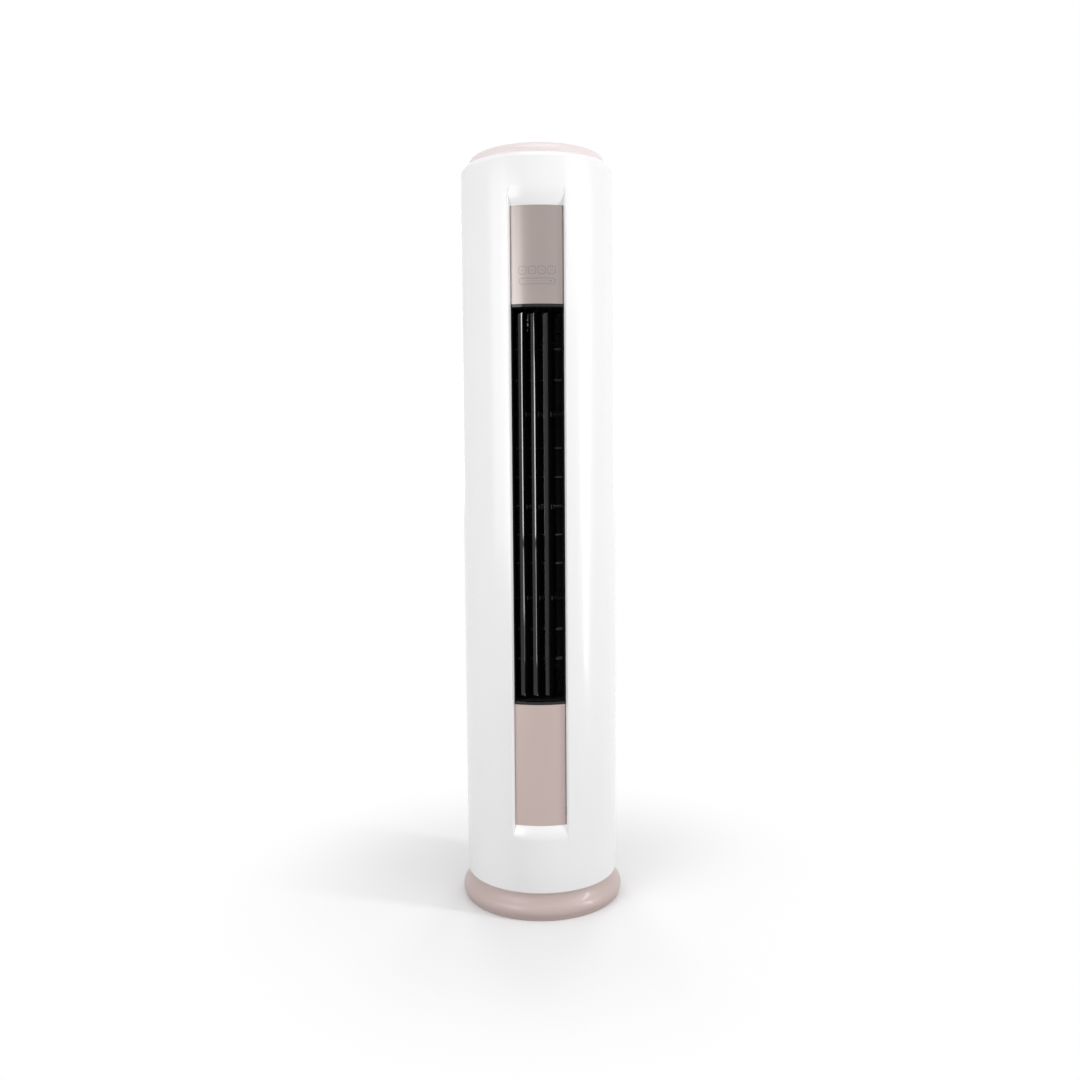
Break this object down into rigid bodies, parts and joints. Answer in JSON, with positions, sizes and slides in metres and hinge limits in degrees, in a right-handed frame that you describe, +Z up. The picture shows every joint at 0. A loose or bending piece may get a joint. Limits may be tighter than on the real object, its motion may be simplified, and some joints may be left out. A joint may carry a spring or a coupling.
{
  "type": "floor standing air conditioner",
  "caption": "Tall round floor standing air conditioner indoor unit with upright swinging air vanes, a control panel and a rear intake grille.",
  "frame": {"origin": "on the floor, at the axis of the round cabinet", "axes": "+Z up along the cabinet axis, -Y out of the front with the control panel, +X to the right seen from the front"},
  "size_m": [0.404, 0.404, 1.831],
  "materials": {
    "shell_white": "glossy white moulded plastic",
    "base_pink": "satin rose beige plastic",
    "cap_pink": "satin pale rose plastic",
    "champagne_panel": "pearl champagne painted plastic",
    "print_grey": "printed grey line",
    "gloss_black": "piano black plastic",
    "frame_black": "moulded dark grey plastic",
    "filter_net": "blue grey nylon net and frame",
    "gland_black": "black nylon",
    "pad_rubber": "black rubber",
    "galvanised": "galvanised sheet steel",
    "screw_steel": "zinc plated steel",
    "duct_grey": "grey moulded plastic",
    "drain_plastic": "pale plastic pipe",
    "fan_plastic": "glass filled dark plastic",
    "motor_steel": "grey painted motor case",
    "fin_aluminium": "coated aluminium fin pack",
    "copper_pipe": "drawn copper",
    "nut_brass": "turned brass",
    "board_green": "green circuit board",
    "terminal_cream": "cream moulded plastic"
  },
  "bodies": {
    "cabinet": {"base_ring": "base_pink", "base_plate": "galvanised", "foot_pads": "pad_rubber", "front_shell": "shell_white", "rear_shell": "shell_white", "top_cap": "cap_pink", "control_panel": "champagne_panel", "key_outlines": "print_grey", "lower_panel": "champagne_panel", "upper_lip": "gloss_black", "lower_lip": "gloss_black", "outlet_frame": "frame_black", "pipe_port_cover": "shell_white", "cable_gland": "gland_black", "screws": "screw_steel", "chassis_post_left": "galvanised", "chassis_post_right": "galvanised", "lower_shelf": "galvanised", "upper_shelf": "galvanised", "top_brace": "galvanised", "drain_pan": "duct_grey", "drain_pipe": "drain_plastic", "scroll_wall": "duct_grey", "tongue": "duct_grey", "fan_motor": "motor_steel", "motor_clamp": "galvanised", "lower_bearing": "gland_black", "evaporator_fins": "fin_aluminium", "evaporator_tubes": "copper_pipe", "coil_end_plates": "galvanised", "gas_pipe": "copper_pipe", "liquid_pipe": "copper_pipe", "flare_nuts": "nut_brass", "electrical_box": "galvanised", "electrical_box_cover": "galvanised", "control_board": "board_green", "terminal_block": "terminal_cream", "display_board": "board_green", "vane_motor": "motor_steel", "fin_motor": "motor_steel"},
    "vane_1": {"vane_1": "gloss_black"},
    "vane_2": {"vane_2": "gloss_black"},
    "vane_3": {"vane_3": "gloss_black"},
    "vane_links": {"vane_link_upper": "frame_black", "vane_link_lower": "frame_black"},
    "fin_link": {"fin_link": "frame_black"},
    "fan": {"fan_wheel": "fan_plastic", "fan_motor_shaft": "screw_steel"},
    "intake": {"intake_grille": "shell_white", "filter_left": "filter_net", "filter_right": "filter_net"},
    "fin_1": {"fin_1": "frame_black"},
    "fin_2": {"fin_2": "frame_black"},
    "fin_3": {"fin_3": "frame_black"},
    "fin_4": {"fin_4": "frame_black"},
    "fin_5": {"fin_5": "frame_black"},
    "fin_6": {"fin_6": "frame_black"},
    "fin_7": {"fin_7": "frame_black"},
    "fin_8": {"fin_8": "frame_black"},
    "fin_9": {"fin_9": "frame_black"}
  },
  "joints": [
    {"name": "vane_1_turn", "type": "hinge", "parent": "cabinet", "child": "vane_1", "pos_m": [-0.029, -0.138, 0.994], "axis": [0, 0, 1], "range_deg": [-20, 70]},
    {"name": "vane_2_turn", "type": "hinge", "parent": "cabinet", "child": "vane_2", "pos_m": [0, -0.138, 0.994], "axis": [0, 0, 1], "range_deg": [-20, 70]},
    {"name": "vane_3_turn", "type": "hinge", "parent": "cabinet", "child": "vane_3", "pos_m": [0.029, -0.138, 0.994], "axis": [0, 0, 1], "range_deg": [-20, 70]},
    {"name": "vane_link_turn", "type": "hinge", "parent": "vane_1", "child": "vane_links", "pos_m": [-0.02055, -0.11987, 0.994], "axis": [0, 0, 1], "range_deg": [-70, 20]},
    {"name": "fin_1_turn", "type": "hinge", "parent": "cabinet", "child": "fin_1", "pos_m": [0, -0.092, 0.6205], "axis": [1, 0, 0], "range_deg": [-35, 35]},
    {"name": "fin_2_turn", "type": "hinge", "parent": "cabinet", "child": "fin_2", "pos_m": [0, -0.092, 0.6935], "axis": [1, 0, 0], "range_deg": [-35, 35]},
    {"name": "fin_3_turn", "type": "hinge", "parent": "cabinet", "child": "fin_3", "pos_m": [0, -0.092, 0.855], "axis": [1, 0, 0], "range_deg": [-35, 35]},
    {"name": "fin_4_turn", "type": "hinge", "parent": "cabinet", "child": "fin_4", "pos_m": [0, -0.092, 0.9245], "axis": [1, 0, 0], "range_deg": [-35, 35]},
    {"name": "fin_5_turn", "type": "hinge", "parent": "cabinet", "child": "fin_5", "pos_m": [0, -0.092, 0.994], "axis": [1, 0, 0], "range_deg": [-35, 35]},
    {"name": "fin_6_turn", "type": "hinge", "parent": "cabinet", "child": "fin_6", "pos_m": [0, -0.092, 1.0635], "axis": [1, 0, 0], "range_deg": [-35, 35]},
    {"name": "fin_7_turn", "type": "hinge", "parent": "cabinet", "child": "fin_7", "pos_m": [0, -0.092, 1.133], "axis": [1, 0, 0], "range_deg": [-35, 35]},
    {"name": "fin_8_turn", "type": "hinge", "parent": "cabinet", "child": "fin_8", "pos_m": [0, -0.092, 1.2945], "axis": [1, 0, 0], "range_deg": [-35, 35]},
    {"name": "fin_9_turn", "type": "hinge", "parent": "cabinet", "child": "fin_9", "pos_m": [0, -0.092, 1.3675], "axis": [1, 0, 0], "range_deg": [-35, 35]},
    {"name": "fin_link_turn", "type": "hinge", "parent": "fin_1", "child": "fin_link", "pos_m": [0.042, -0.079, 0.6205], "axis": [1, 0, 0], "range_deg": [-35, 35]},
    {"name": "fan_spin", "type": "hinge", "parent": "cabinet", "child": "fan", "pos_m": [0, 0, 0.994], "axis": [0, 0, 1], "continuous": true},
    {"name": "intake_pull", "type": "slide", "parent": "cabinet", "child": "intake", "axis": [0, 1, 0], "range_m": [0, 0.08]}
  ],
  "couplings": [
    {"joint": "vane_2_turn", "follows": "vane_1_turn", "ratio": 1},
    {"joint": "vane_3_turn", "follows": "vane_1_turn", "ratio": 1},
    {"joint": "vane_link_turn", "follows": "vane_1_turn", "ratio": -1},
    {"joint": "fin_2_turn", "follows": "fin_1_turn", "ratio": 1},
    {"joint": "fin_3_turn", "follows": "fin_1_turn", "ratio": 1},
    {"joint": "fin_4_turn", "follows": "fin_1_turn", "ratio": 1},
    {"joint": "fin_5_turn", "follows": "fin_1_turn", "ratio": 1},
    {"joint": "fin_6_turn", "follows": "fin_1_turn", "ratio": 1},
    {"joint": "fin_7_turn", "follows": "fin_1_turn", "ratio": 1},
    {"joint": "fin_8_turn", "follows": "fin_1_turn", "ratio": 1},
    {"joint": "fin_9_turn", "follows": "fin_1_turn", "ratio": 1},
    {"joint": "fin_link_turn", "follows": "fin_1_turn", "ratio": -1}
  ]
}
